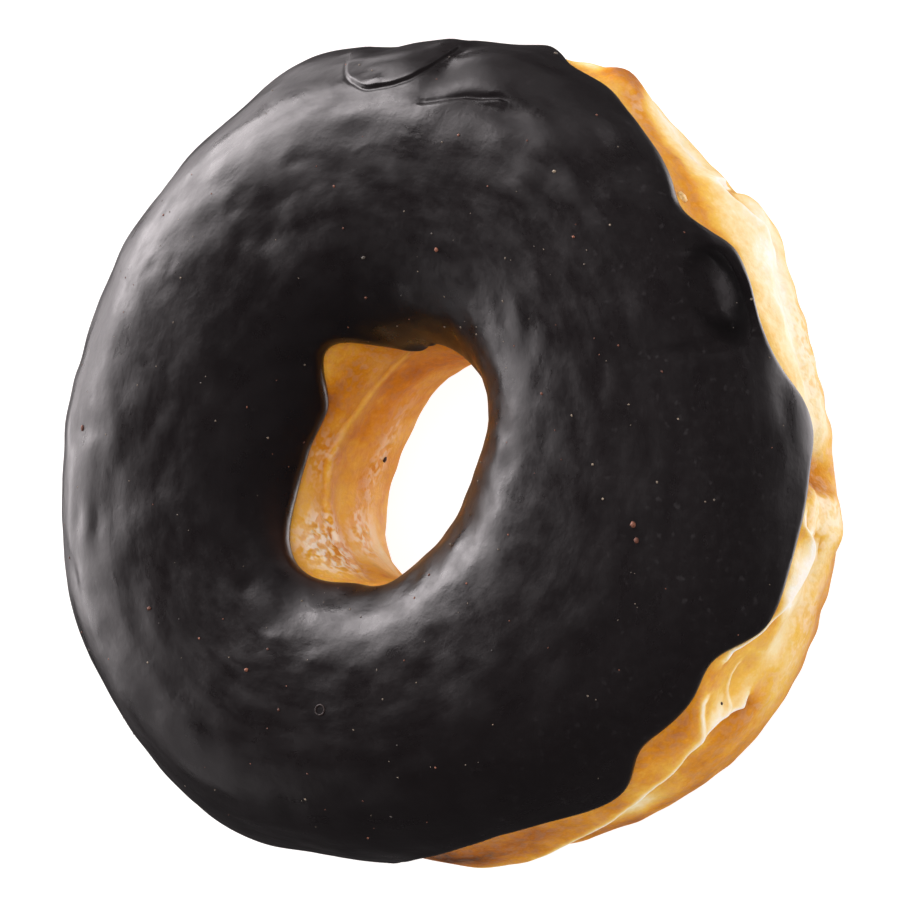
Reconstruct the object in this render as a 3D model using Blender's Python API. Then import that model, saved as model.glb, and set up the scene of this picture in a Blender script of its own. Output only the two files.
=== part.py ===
"""Chocolate frosted yeast ring doughnut.

A fried dough ring lies on a flat foot at z = 0 with its hole along Z, and a coat of chocolate
icing covers its upper half. Lengths are metres and angles are degrees.

An azimuth runs anticlockwise from +X, seen from above. A section angle runs round the cut
through the ring: 0 at the outer belly, 90 at the top, 180 in the hole and -90 at the foot.
"""

import bpy
import numpy as np

MM = 0.001

# Dough ring
OUTER_RADIUS = 45.0 * MM
HOLE_RADIUS = 11.2 * MM
HALF_HEIGHT = 17.0 * MM
FOOT_FLAT = 0.6 * MM  # what its own weight takes off the round underside
SQUARENESS = 0.037  # how far the section swells out between belly and top, as a share
RING_AXIS = (-0.42 * MM, 0.71 * MM)  # puts the origin under the middle of the whole outline

# Uneven outlines: lobes round the ring, height as a share of the radius, azimuth of a crest
OUTER_WAVES = (
    (2, 0.0158, 60.0),
    (3, 0.0263, 18.0),
    (4, 0.0125, -24.0),
    (5, 0.0037, 32.0),
)
HOLE_WAVES = (
    (1, 0.093, 145.0),
    (2, 0.176, -14.0),
    (3, 0.012, 51.0),
    (4, 0.017, -42.0),
)

# Swellings and hollows of the dough, which the icing follows:
# azimuth, section angle, reach in azimuth, reach in section angle, height
DOUGH_SWELLS = (
    (-85.0, -16.0, 5.0, 13.0, 1.0 * MM),  # knuckle of browned crust
    (-76.5, -13.0, 3.5, 13.0, -1.7 * MM),  # fold beside the knuckle
    (-108.0, 17.0, 5.5, 9.0, -1.4 * MM),  # triangular hollow under the icing
    (-100.0, -18.0, 10.0, 16.0, -0.4 * MM),
    (-142.0, -10.0, 9.0, 20.0, 0.3 * MM),
    (-158.0, -9.0, 10.0, 28.0, 1.7 * MM),
    (-169.0, 0.0, 5.0, 35.0, -0.3 * MM),
    (-63.0, -22.0, 9.0, 25.0, -0.3 * MM),
    (-39.0, -14.0, 7.5, 25.0, 1.6 * MM),
    (-27.5, -6.0, 5.0, 22.0, -0.3 * MM),
    (-23.0, 16.0, 7.0, 7.0, -0.7 * MM),  # groove along the edge of the icing
    (-37.0, 28.0, 7.0, 6.0, -0.7 * MM),
    (-12.0, -1.0, 7.0, 20.0, 2.6 * MM),  # browned ridge
    (-2.5, 6.0, 5.0, 22.0, 1.0 * MM),
    (17.5, 12.0, 7.0, 28.0, -0.3 * MM),
    (33.5, 15.0, 7.5, 28.0, 1.45 * MM),
    (72.0, 26.0, 7.0, 22.0, 0.5 * MM),
    (99.0, 26.0, 6.0, 22.0, 0.45 * MM),
    (126.0, 10.0, 10.0, 24.0, 1.4 * MM),
    (163.0, 5.0, 10.0, 24.0, 1.4 * MM),
    (44.0, 88.0, 7.0, 13.0, -0.5 * MM),
    (115.0, 72.0, 9.0, 10.0, -0.5 * MM),
)

# Pale crease round the outside, where the upper and the lower crust meet
WAIST_LEVEL = -8.0
WAIST_RISES = (  # azimuth, reach in azimuth, rise in section angle
    (-153.0, 16.0, -4.0),
    (-117.5, 15.0, 21.0),
    (-101.0, 6.0, 6.0),
    (-43.0, 6.0, -5.0),
    (35.0, 14.0, 5.0),
    (108.0, 12.0, -2.0),
)
WAIST_DEPTH = 0.8 * MM
WAIST_REACH = 6.0

# Crease round the wall of the hole
HOLE_CREASE_LEVEL = 171.0
HOLE_CREASE_RISES = (
    (8.0, 22.0, -12.0),
    (178.0, 14.0, -12.0),
)
HOLE_CREASE_DEPTH = 0.6 * MM
HOLE_CREASE_REACH = 6.0

# Icing
ICING_THICKNESS = 1.25 * MM
ICING_GAP = 0.42 * MM  # between the dough and the underside of the icing
ICING_THINNEST = 0.7 * MM
BEAD_ROUNDNESS = 0.45  # power of the rounded edge: lower is blunter
OUTER_EDGE_LEVEL = 18.0
OUTER_EDGE_RISES = (  # azimuth, reach in azimuth, rise in section angle
    (-176.0, 9.0, -30.0),
    (-145.0, 15.0, 8.5),
    (-123.0, 4.2, 5.5),
    (-117.0, 9.0, 15.0),
    (-106.0, 6.0, 13.5),
    (-83.0, 6.5, -4.5),
    (-72.0, 7.0, -14.0),
    (-59.0, 11.5, 6.5),
    (-40.0, 6.5, 13.5),
    (-28.5, 11.5, 11.0),
    (7.5, 9.0, -27.5),
    (38.0, 8.0, -8.0),
    (60.0, 9.0, 3.0),
    (84.0, 10.0, -14.0),
    (108.0, 8.0, 5.0),
    (130.0, 11.0, -13.0),
    (162.0, 15.0, -24.0),
)
HOLE_EDGE_LEVEL = 152.0
HOLE_EDGE_RISES = (
    (-165.0, 13.0, -11.0),
    (-91.0, 60.0, 10.5),
    (-60.0, 18.0, -7.0),
    (3.5, 3.3, 1.5),
    (15.0, 9.0, 9.0),
    (52.0, 17.5, -15.0),  # notch
    (97.0, 26.0, -3.5),
    (156.0, 28.5, -13.5),
)

# Folds, pads and dimples of the icing alone, as for the dough
ICING_SWELLS = (
    (-54.0, 38.0, 5.0, 9.0, -0.6 * MM),  # glossy pocket
    (-55.0, 25.0, 7.0, 5.0, 0.4 * MM),  # thick lip below the pocket
    (-73.0, 14.0, 9.0, 7.0, 0.3 * MM),  # thick lip of the next lobe
    (16.0, 46.0, 7.0, 8.0, 0.6 * MM),  # folded tongue
    (-1.0, 38.0, 6.0, 12.0, 0.6 * MM),  # smooth pad beside it
    (7.0, 42.0, 2.5, 14.0, -0.5 * MM),  # crease between them
    (-3.0, 58.0, 9.0, 4.0, -0.5 * MM),  # long crease above them
)

# Points round the ring and round its section
DOUGH_ROUND, DOUGH_SECTION = 92, 36
ICING_ROUND, ICING_SECTION = 120, 30
SECTION_CROWDING = 0.38  # draws section points from top and foot to the belly and the hole

DOUGH_COLOUR = (0.56, 0.26, 0.07, 1.0)
DOUGH_ROUGHNESS = 0.55
ICING_COLOUR = (0.016, 0.012, 0.012, 1.0)
ICING_ROUGHNESS = 0.32


def turned(angle):
    """An angle brought between -180 and 180."""
    return (angle + 180.0) % 360.0 - 180.0


def bell(offset, reach):
    """1 at no offset, falling smoothly to nothing beyond about twice the reach."""
    return np.exp(-((offset / reach) ** 2))


def uneven(radius, waves, azimuth):
    """A radius that swells and shrinks by waves round the ring."""
    share = 1.0
    for lobes, height, crest in waves:
        share = share + height * np.cos(np.radians(lobes * (azimuth - crest)))
    return radius * share


def edge_line(level, rises, azimuth):
    """The section angle, at an azimuth, of a line that runs round the ring."""
    line = level + 0.0 * azimuth
    for at, reach, rise in rises:
        line = line + rise * bell(turned(azimuth - at), reach)
    return line


def swelling(swells, azimuth, section):
    """The summed height of a group of swellings."""
    height = 0.0 * azimuth
    for at_azimuth, at_section, azimuth_reach, section_reach, peak in swells:
        along = bell(turned(azimuth - at_azimuth), azimuth_reach)
        across = bell(turned(section - at_section), section_reach)
        height = height + peak * along * across
    return height


def dough_relief(azimuth, section):
    """How far the dough stands out of its plain section."""
    waist = edge_line(WAIST_LEVEL, WAIST_RISES, azimuth)
    crease = edge_line(HOLE_CREASE_LEVEL, HOLE_CREASE_RISES, azimuth)
    relief = swelling(DOUGH_SWELLS, azimuth, section)
    relief = relief - WAIST_DEPTH * bell(turned(section - waist), WAIST_REACH)
    return relief - HOLE_CREASE_DEPTH * bell(turned(section - crease), HOLE_CREASE_REACH)


def ring_point(azimuth, section, lift):
    """Points that stand lift above the dough, at an azimuth and a section angle."""
    outer = uneven(OUTER_RADIUS, OUTER_WAVES, azimuth)
    inner = uneven(HOLE_RADIUS, HOLE_WAVES, azimuth)
    middle, half_width = (outer + inner) / 2.0, (outer - inner) / 2.0
    turn = np.radians(section)
    across, up = np.cos(turn), np.sin(turn)
    size = 1.0 + SQUARENESS * (1.0 - np.cos(4.0 * turn))
    growth = 4.0 * SQUARENESS * np.sin(4.0 * turn)
    run_across = half_width * (growth * across - size * up)
    run_up = HALF_HEIGHT * (growth * up + size * across)
    run = np.hypot(run_across, run_up)
    out = lift + dough_relief(azimuth, section)
    radius = middle + half_width * size * across + out * run_up / run
    height = HALF_HEIGHT * size * up - out * run_across / run
    height = np.maximum(height + HALF_HEIGHT - FOOT_FLAT, 0.0)
    heading = np.radians(azimuth)
    return np.stack(
        [RING_AXIS[0] + radius * np.cos(heading), RING_AXIS[1] + radius * np.sin(heading), height],
        axis=-1,
    )


def dough_point(azimuth, turn):
    """The dough's surface. The turn round the plain torus becomes the section angle."""
    crowding = np.degrees(SECTION_CROWDING / 2.0) * np.sin(np.radians(2.0 * turn))
    return ring_point(azimuth, turn - crowding, 0.0)


def icing_point(azimuth, turn):
    """The icing's surface: turns of 0 to 180 run over its outer face from the outer edge to the
    edge in the hole, and the other turns run back along its underside."""
    outer_edge = edge_line(OUTER_EDGE_LEVEL, OUTER_EDGE_RISES, azimuth)
    hole_edge = edge_line(HOLE_EDGE_LEVEL, HOLE_EDGE_RISES, azimuth)
    middle, half_span = (outer_edge + hole_edge) / 2.0, (hole_edge - outer_edge) / 2.0
    section = middle - half_span * np.cos(np.radians(turn))
    thickness = ICING_THICKNESS + swelling(ICING_SWELLS, azimuth, section)
    thickness = np.maximum(thickness, ICING_THINNEST)
    bead = np.maximum(np.sin(np.radians(turn)), 0.0) ** BEAD_ROUNDNESS
    return ring_point(azimuth, section, ICING_GAP + thickness * bead)


def add_ring(name, collection, material, points_round, points_section, place):
    """A torus whose every point is moved to where place puts its azimuth and its turn."""
    bpy.ops.mesh.primitive_torus_add(
        major_radius=OUTER_RADIUS,
        minor_radius=OUTER_RADIUS / 2.0,
        major_segments=points_round,
        minor_segments=points_section,
    )
    ring = bpy.context.object
    ring.name = name
    ring.data.name = name
    count = len(ring.data.vertices)
    plain = np.empty(count * 3)
    ring.data.vertices.foreach_get("co", plain)
    x, y, z = plain.reshape(count, 3).T
    azimuth = np.degrees(np.arctan2(y, x))
    turn = np.degrees(np.arctan2(z, np.hypot(x, y) - OUTER_RADIUS))
    ring.data.vertices.foreach_set("co", place(azimuth, turn).ravel())
    ring.data.materials.append(material)
    ring.data.shade_smooth()
    ring.data.update()
    for holder in list(ring.users_collection):
        holder.objects.unlink(ring)
    collection.objects.link(ring)
    return ring


def plain_material(name, colour, roughness):
    material = bpy.data.materials.new(name)
    material.use_nodes = True
    shader = material.node_tree.nodes["Principled BSDF"]
    shader.inputs["Base Color"].default_value = colour
    shader.inputs["Roughness"].default_value = roughness
    shader.inputs["Metallic"].default_value = 0.0
    return material


def clear_scene():
    for thing in list(bpy.data.objects):
        bpy.data.objects.remove(thing, do_unlink=True)


def build_doughnut():
    clear_scene()
    collection = bpy.data.collections.new("chocolate_frosted_doughnut")
    bpy.context.scene.collection.children.link(collection)
    dough = plain_material("fried_dough", DOUGH_COLOUR, DOUGH_ROUGHNESS)
    icing = plain_material("chocolate_icing", ICING_COLOUR, ICING_ROUGHNESS)
    add_ring("dough_ring", collection, dough, DOUGH_ROUND, DOUGH_SECTION, dough_point)
    add_ring("icing", collection, icing, ICING_ROUND, ICING_SECTION, icing_point)


build_doughnut()
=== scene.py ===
"""Looks of the chocolate frosted doughnut.

Two fine meshes stand for the solids and have their form: the fried dough ring and the
chocolate icing on its upper half. Small specks and crumbs lie in the icing and on the crust.
Lengths are metres and angles are degrees. An azimuth runs anticlockwise from +X, seen from
above. A section angle runs round the cut through the ring: 0 at the outer belly, 90 at the top,
180 in the hole and -90 at the foot.
"""

import math

import bmesh
import bpy
import numpy as np
from mathutils import Matrix, Vector


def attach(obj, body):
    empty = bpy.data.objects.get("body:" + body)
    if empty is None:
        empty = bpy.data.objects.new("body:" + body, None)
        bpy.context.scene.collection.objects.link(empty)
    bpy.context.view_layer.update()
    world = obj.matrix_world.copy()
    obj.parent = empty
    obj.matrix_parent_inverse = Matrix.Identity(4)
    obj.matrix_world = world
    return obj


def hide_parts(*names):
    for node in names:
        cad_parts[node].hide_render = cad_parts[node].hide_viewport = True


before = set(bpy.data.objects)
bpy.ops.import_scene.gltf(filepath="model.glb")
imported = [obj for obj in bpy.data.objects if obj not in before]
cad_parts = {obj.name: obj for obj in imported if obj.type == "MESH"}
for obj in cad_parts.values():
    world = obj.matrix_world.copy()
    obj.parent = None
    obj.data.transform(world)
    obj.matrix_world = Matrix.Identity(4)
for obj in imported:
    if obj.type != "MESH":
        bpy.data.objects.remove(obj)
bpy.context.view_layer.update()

MM = 0.001

# Dough ring
OUTER_RADIUS = 45.0 * MM
HOLE_RADIUS = 11.2 * MM
HALF_HEIGHT = 17.0 * MM
FOOT_FLAT = 0.6 * MM
SQUARENESS = 0.037  # how far the section bulges towards the corners of a square
RING_AXIS = (-0.42 * MM, 0.71 * MM)

# Uneven outlines: lobes round the ring, height as a share of the radius, azimuth of a crest
OUTER_WAVES = (
    (2, 0.0158, 60.0),
    (3, 0.0263, 18.0),
    (4, 0.0125, -24.0),
    (5, 0.0037, 32.0),
)
HOLE_WAVES = (
    (1, 0.093, 145.0),
    (2, 0.176, -14.0),
    (3, 0.012, 51.0),
    (4, 0.017, -42.0),
)

# Swellings and hollows of the dough, which the icing follows:
# azimuth, section angle, reach in azimuth, reach in section angle, height
DOUGH_SWELLS = (
    (-85, -16, 5, 13, 1.0 * MM),
    (-76.5, -13, 3.5, 13, -1.7 * MM),
    (-108, 17, 5.5, 9, -1.4 * MM),
    (-100, -18, 10, 16, -0.4 * MM),
    (-142, -10, 9, 20, 0.3 * MM),
    (-158, -9, 10, 28, 1.7 * MM),
    (-169, 0, 5, 35, -0.3 * MM),
    (-63, -22, 9, 25, -0.3 * MM),
    (-39, -14, 7.5, 25, 1.6 * MM),
    (-27.5, -6, 5, 22, -0.3 * MM),
    (-23, 16, 7, 7, -0.7 * MM),
    (-37, 28, 7, 6, -0.7 * MM),
    (-12, -1, 7, 20, 2.6 * MM),
    (-2.5, 6, 5, 22, 1.0 * MM),
    (17.5, 12, 7, 28, -0.3 * MM),
    (33.5, 15, 7.5, 28, 1.45 * MM),
    (72, 26, 7, 22, 0.5 * MM),
    (99, 26, 6, 22, 0.45 * MM),
    (126, 10, 10, 24, 1.4 * MM),
    (163, 5, 10, 24, 1.4 * MM),
    (44, 88, 7, 13, -0.5 * MM),
    (115, 72, 9, 10, -0.5 * MM),
)

# Pale crease round the outside: azimuth, reach in azimuth, rise in section angle
WAIST_LEVEL = -8.0
WAIST_RISES = (
    (-153, 16, -4),
    (-117.5, 15, 21),
    (-101, 6, 6),
    (-43, 6, -5),
    (35, 14, 5),
    (108, 12, -2),
)
WAIST_DEPTH = 0.8 * MM
WAIST_REACH = 6.0

# Crease round the wall of the hole
HOLE_CREASE_LEVEL = 171.0
HOLE_CREASE_RISES = (
    (8, 22, -12),
    (178, 14, -12),
)
HOLE_CREASE_DEPTH = 0.6 * MM
HOLE_CREASE_REACH = 6.0

# Icing
ICING_THICKNESS = 1.35 * MM
ICING_THINNEST = 1.0 * MM
ICING_TUCK = 0.35 * MM  # how far its underside and its edges reach into the dough
BEAD_WIDTH = 1.5 * MM  # over which its rounded edges rise
OUTER_EDGE_LEVEL = 18.0
OUTER_EDGE_RISES = (
    (-176, 9, -30),
    (-145, 15, 8.5),
    (-123, 4.2, 5.5),
    (-117, 9, 15),
    (-106, 6, 13.5),
    (-101.5, 3.5, -2.8),
    (-83, 6.5, -4.5),
    (-72, 7, -14),
    (-59, 11.5, 6.5),
    (-45.5, 3, -2.2),
    (-40, 6.5, 13.5),
    (-28.5, 11.5, 11),
    (-9.5, 4, 4.5),
    (7.5, 9, -27.5),
    (38, 8, -8),
    (60, 9, 3),
    (84, 10, -14),
    (108, 8, 5),
    (130, 11, -13),
    (162, 15, -24),
)
HOLE_EDGE_LEVEL = 152.0
HOLE_EDGE_RISES = (
    (-165, 13, -11),
    (-91, 60, 10.5),
    (-60, 18, -7),
    (3.5, 3.3, 1.5),
    (15, 9, 9),
    (52, 17.5, -15),
    (97, 26, -3.5),
    (156, 28.5, -13.5),
)

# Folds, pads and dimples of the icing, as for the dough
ICING_SWELLS = (
    (-54, 38, 5, 9, -0.6 * MM),
    (-55, 25, 7, 5, 0.4 * MM),
    (-73, 14, 9, 7, 0.3 * MM),
    (16, 46, 7, 8, 0.6 * MM),
    (-1, 38, 6, 12, 0.6 * MM),
    (7, 42, 2.5, 14, -0.5 * MM),
    (-3, 58, 8, 4, -0.32 * MM),
    (13, 28, 4, 16, 0.25 * MM),
    (21, 30, 3, 14, -0.30 * MM),
    (54, 24, 5, 22, 0.25 * MM),
    (84, 24, 6, 24, 0.35 * MM),
)

# Smaller lumps and dents that show in the icing's reflections, as for the dough
ICING_DENTS = (
    (9.6, 32, 2.6, 6, 0.45 * MM),
    (22.8, 36, 1.8, 5, 0.35 * MM),
    (22.2, 43, 1.6, 2.5, 0.20 * MM),
    (17.5, 54, 1.4, 1.6, 0.15 * MM),
    (115.5, 56, 3, 4, -0.22 * MM),
    (118.5, 65, 3, 3.5, -0.18 * MM),
    (124, 48, 3, 4, -0.25 * MM),
    (130, 60, 3, 6, -0.15 * MM),
    (68.4, 57.7, 1.8, 2.6, -0.14 * MM),
    (69.8, 65, 1.6, 3, -0.14 * MM),
    (66, 72, 2, 3, -0.12 * MM),
    (49.6, 78, 2.2, 3, -0.15 * MM),
    (51, 88, 2.4, 4, -0.16 * MM),
    (46, 96, 2.4, 4, -0.14 * MM),
    (33.6, 76, 2, 3, -0.12 * MM),
    (176, 103, 3, 3, -0.14 * MM),
    (168, 110, 3, 3, 0.12 * MM),
    (100.6, 58, 2.2, 7, -0.28 * MM),
    (-24, 44, 5, 8, 0.25 * MM),
    (92, 40, 2.4, 9, 0.16 * MM),
    (152, 58, 3, 6, -0.18 * MM),
    (150, 118, 3, 4, -0.14 * MM),
)

# Lines in the crust, as points of azimuth and section angle
LIP_CREASE = (
    (-166, -12), (-152, -9), (-145, -1), (-138, 5.5), (-132, 11), (-127.5, 15), (-124, 16),
    (-121, 16.8), (-118.5, 18), (-116.2, 17.5), (-114.2, 14.5), (-112.5, 10), (-111.2, 6),
)
LIP_BACK = LIP_CREASE[:9]  # its part that a brown band runs along
STRIP_BORDER = (
    (-104.5, 29.5), (-102.5, 24), (-101, 20.3), (-99, 17), (-97, 12.6), (-95, 8), (-93, 4.3),
    (-91, 1.2), (-89, -0.4), (-87.8, 0.8), (-87, 4), (-86, 8),
)
STRIP_LIP = STRIP_BORDER[5:10]  # its part with the widest pale line along the lip, partly a painted highlight
BAND_ARCH = (
    (-44, -14), (-42, -7.5), (-40, -0.5), (-38, 4), (-36.5, 6.8), (-35.2, 8.2), (-34.2, 6.5),
    (-33.5, 1), (-33, -5), (-32.4, -12),
)
EDGE_GROOVE = (
    (-46, 24), (-42, 27), (-38, 27), (-34, 24.5), (-30, 21), (-26, 17), (-22, 14), (-17, 12),
)
UPPER_RIDGE = ((-117, 19.5), (-115.3, 22.5), (-113.8, 26), (-112.4, 29))
PIT_RIDGE = ((-111.5, 13), (-110.2, 15.8), (-109, 17), (-107.8, 19.2))
HOLE_RIDGE = (
    (20, 158), (27, 162), (35, 164), (45, 165), (55, 164), (65, 163), (75, 161.5), (85, 159.5),
    (95, 159), (105, 158.5), (115, 160), (125, 161.5), (135, 163), (150, 166), (160, 164),
    (170, 159),
)

# Folds of the crust along those lines: height, reach towards the top, reach towards the foot
DOUGH_FOLDS = (
    (0.85 * MM, 1.7 * MM, 0.16 * MM, LIP_CREASE),
    (-0.60 * MM, 0.16 * MM, 1.6 * MM, LIP_CREASE),
    (0.50 * MM, 0.8 * MM, 0.18 * MM, STRIP_BORDER),
    (-0.35 * MM, 0.18 * MM, 1.2 * MM, STRIP_BORDER),
    (0.40 * MM, 1.2 * MM, 0.16 * MM, BAND_ARCH),
    (-0.60 * MM, 0.16 * MM, 1.4 * MM, BAND_ARCH),
    (0.30 * MM, 0.40 * MM, 0.40 * MM, UPPER_RIDGE),
    (0.20 * MM, 0.25 * MM, 0.25 * MM, PIT_RIDGE),
    (0.25 * MM, 1.6 * MM, 0.25 * MM, HOLE_RIDGE),
    (-0.15 * MM, 0.25 * MM, 0.9 * MM, HOLE_RIDGE),
)

# Hollows and knobs of the crust with steep sides:
# azimuth, section angle, reach in azimuth, reach in section angle, height, crispness
DOUGH_DENTS = (
    (-77.9, -9, 3.2, 14, -1.0 * MM, 4.0),
    (-79, 10, 3.2, 9, -0.7 * MM, 4.0),
    (-86.7, -5, 0.7, 2.6, -0.45 * MM, 2.0),
    (-88, -9, 1.4, 0.9, -0.35 * MM, 2.0),
    (-108.5, 21, 4, 9, -0.45 * MM, 3.0),
    (-36.5, -2, 2.2, 8, -0.55 * MM, 3.0),
    (-13, 7, 3.6, 7, 0.45 * MM, 3.0),
    (-15.5, 5, 1.2, 1.6, -0.40 * MM, 2.0),
    (-11, 12, 1, 1.8, -0.30 * MM, 2.0),
)

# Ripples of all the crust and of its blisters: height, distance between two, seed
CRUST_RIPPLES = ((0.07 * MM, 3.6 * MM, 12),)
BLISTER_RIPPLES = ((0.08 * MM, 1.5 * MM, 11),)
EDGE_OVERLAP = (-2.0, 1.0)  # past the icing's edge, where the crust's relief begins and is whole

# Folds of the icing in the same way
TONGUE_EDGE = (
    (7.6, 36), (8, 40), (8.8, 46.6), (10.4, 52), (13, 55.3), (16.5, 56.7), (18.9, 56.6),
    (21.3, 53.7), (22.6, 51.4), (23.6, 47.5), (24.2, 43), (24.8, 37),
)
LONG_CREASE = ((-5.5, 53.9), (-2.5, 56), (0, 57.2), (2.5, 59.3), (4.5, 60.8), (7, 62.2))
POCKET_MOAT = (
    (-61.5, 44), (-61, 37), (-60, 32.5), (-58, 30.3), (-55, 29.8), (-51, 29.8), (-48.5, 31.5),
    (-47, 35), (-46.3, 39),
)
ICING_FOLDS = (
    (0.20 * MM, 0.14 * MM, 1.3 * MM, TONGUE_EDGE),
    (-0.25 * MM, 0.20 * MM, 0.14 * MM, TONGUE_EDGE),
    (-0.30 * MM, 0.22 * MM, 0.35 * MM, LONG_CREASE),
    (0.15 * MM, 1.1 * MM, 0.22 * MM, LONG_CREASE),
    (-0.55 * MM, 0.9 * MM, 0.35 * MM, POCKET_MOAT),
)
LINE_FADE = 2.0  # degrees past its ends over which a line is lost

# Ripples of the icing, and its streaks, which run along the ring, as for the crust
ICING_RIPPLES = (
    (0.050 * MM, 10.0 * MM, 21),
    (0.022 * MM, 4.2 * MM, 24),
    (0.004 * MM, 1.7 * MM, 23),
)
ICING_STREAKS = ((0.020 * MM, 2.6 * MM, 22),)
STREAK_SHORTENING = 0.45  # of lengths along the ring, in the pattern of the streaks
HOLE_EDGE_RADIUS = 1.2 * HOLE_RADIUS  # about that of the icing's edge in the hole

# Browning of the plain crust, from 0 for the palest to 1 for the darkest
CRUST_TONE = 0.56
WAIST_TONE = 0.14
WAIST_TONE_REACH = 7.0
WALL_TONE = 0.54  # in the hole
WALL_SPAN = (35.0, 60.0)  # where it starts to fade and has faded, off the inmost line
# More towards the foot: how much, and over which angles below the pale crease and the belly
LOWER_BROWNING = (0.16, 2.0, 50.0)
FOOT_BROWNING = (0.10, 50.0, 90.0)

# Browning in patches, with painted shade in some hollows and a painted highlight on the knuckle:
# azimuth, section angle, reach in azimuth and in section angle, browning, strength, any crispness
BROWN_AND_PAINTED_LIGHT_PATCHES = (
    (95, -8, 72, 10, 0.42, 0.8, 2.0),
    (-50, -2, 24, 24, 0.08, 1.0),
    (-25, -2, 14, 14, 0.08, 0.9),
    (-12.5, 6, 3.8, 7, 0.82, 1.0, 2.0),
    (-17.5, 14, 3, 5, 0.38, 0.8),
    (-14, 25, 5, 4.5, 0.60, 0.9),
    (-16, 8.5, 1.4, 1.3, 0.86, 0.9),
    (-7.5, 9, 2, 4, 0.10, 0.8),
    (-40, 30, 3.4, 2.6, 0.70, 0.9),
    # painted shade in the hollow past the pale band
    (-36.3, -2, 2.6, 8.5, 0.60, 1.0, 2.0),
    (-32.5, -14, 1.8, 7, 0.56, 0.9),
    # painted shade in the two hollows beside the knuckle
    (-78, -9, 3.2, 14, 0.76, 1.0, 4.0),
    (-79, 10, 3.4, 9, 0.68, 1.0, 4.0),
    # paler knuckle: its pinkish crust and a painted highlight
    (-84.5, -8, 3, 13, 0.16, 0.9, 2.0),
    (-70, -18, 5, 9, 0.14, 0.9),
    (-86.7, -5, 0.8, 2.6, 0.58, 0.9),
    (-88, -9, 1.5, 1, 0.58, 0.9),
    (-93.5, 8, 5.5, 8, 0.08, 1.0, 2.0),
    (-103, -8, 12, 14, 0.36, 0.9),
    # painted shade in the hollow under the icing's lobe
    (-106.5, 18, 5, 11, 0.48, 0.95),
    (-111.5, 22, 3, 8, 0.38, 0.8),
    (-113.4, 18, 2.6, 3.6, 0.08, 0.95),
    (-119, 4, 9, 8, 0.72, 0.9),
    (-119, 30, 9, 5, 0.74, 0.9),
    (-128, 5, 6, 5, 0.46, 0.9),
    (-135, 17, 8, 6, 0.70, 0.8),
    # darker towards azimuth -160: browner crust and painted shade where little light falls
    (-147, 13, 8, 11, 0.86, 0.9),
    (-160, 6, 9, 12, 1.0, 1.0),
    (-140, -14, 16, 7, 0.82, 0.8),
)
HOLE_BROWN_PATCHES = (
    (60, 150, 30, 8, 0.64, 0.8),
    (30, 176, 34, 9, 0.74, 0.9),
    (85, 174, 24, 9, 0.62, 0.9),
    (125, 174, 18, 8, 0.43, 0.9),
    (147, 177, 9, 7, 0.34, 0.9),
    (145, 153, 22, 9, 0.32, 0.95),
    (75, 149, 9, 4, 0.85, 0.8),
    (80, 194, 45, 8, 0.46, 0.8),
    (147, 194, 22, 11, 0.14, 0.9),
)

# Lines of another browning, among them painted shade and painted highlights: browning, strength,
# reach towards the top, reach towards the foot
BROWN_AND_PAINTED_LIGHT_LINES = (
    (0.58, 0.9, 2.6 * MM, 0.2 * MM, LIP_BACK),
    # painted shadow below the overhanging lip
    (0.80, 0.9, 0.1 * MM, 1.8 * MM, LIP_CREASE),
    # pale lines along the lips' crests: the pale crease and a painted highlight
    (-0.2, 1.0, 0.55 * MM, 0.18 * MM, LIP_CREASE),
    (-0.2, 1.0, 0.45 * MM, 0.16 * MM, STRIP_BORDER),
    (-0.2, 1.0, 1.10 * MM, 0.18 * MM, STRIP_LIP),
    (-0.1, 0.9, 0.60 * MM, 0.14 * MM, BAND_ARCH),
    # painted shade in the groove under the icing's edge, over the crust's gold
    (0.62, 1.0, 3.00 * MM, 1.10 * MM, EDGE_GROOVE),
    # painted highlights on the crests of two small ridges
    (0.04, 0.9, 0.35 * MM, 0.35 * MM, UPPER_RIDGE),
    (0.08, 0.8, 0.25 * MM, 0.25 * MM, PIT_RIDGE),
    (0.50, 0.6, 1.60 * MM, 0.16 * MM, HOLE_RIDGE),
    # painted highlight along the ridge round the hole
    (0.36, 0.5, 0.26 * MM, 0.14 * MM, HOLE_RIDGE),
)

# Where the crust is blistered and pinkish, and where painted glints, painted highlights, light its
# blisters' tops, as for the browning
PLAIN_BLISTERS = 0.05
BLISTER_PATCHES = (
    (-84, -8, 4, 14, 0.50, 1.0, 2.0),
    (-78, -12, 3, 14, 0.05, 1.0, 2.0),
    (-97, -8, 12, 12, 0.30, 0.9),
    (-60, -15, 14, 12, 0.60, 0.9),
    (-18, 12, 3, 4, 0.2, 0.9),
    (148, 158, 17, 14, 1.0, 1.0, 2.0),
    (140, 184, 12, 8, 0.9, 1.0, 2.0),
    (105, 155, 14, 6, 0.5, 0.7),
    (100, 190, 35, 6, 0.6, 0.8),
    (45, 156, 14, 8, 0.15, 0.8),
)

# Where the icing is thin enough to look brown, as for the browning
THIN_PATCHES = (
    (2, 147, 13, 3, 0.30, 1.0),
    (158, 136, 24, 3.5, 0.45, 1.0),
    (-86, 135.5, 5, 2.2, 0.60, 0.9),
    (-103, 139, 4, 2, 0.40, 0.8),
    (-140, 143.5, 9, 1.6, 0.40, 0.8),
)
THIN_AT_EDGE = 0.10
THIN_EDGE_REACH = 0.5 * MM
# Where the icing is glossier than its plain dullness of 1, as for the browning
GLOSS_PATCHES = (
    (-53.5, 38.5, 8.2, 10.5, 0.15, 1.0, 4.0),
    (-53, 41.5, 5, 8.5, 0.85, 1.0, 4.0),
)
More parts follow.
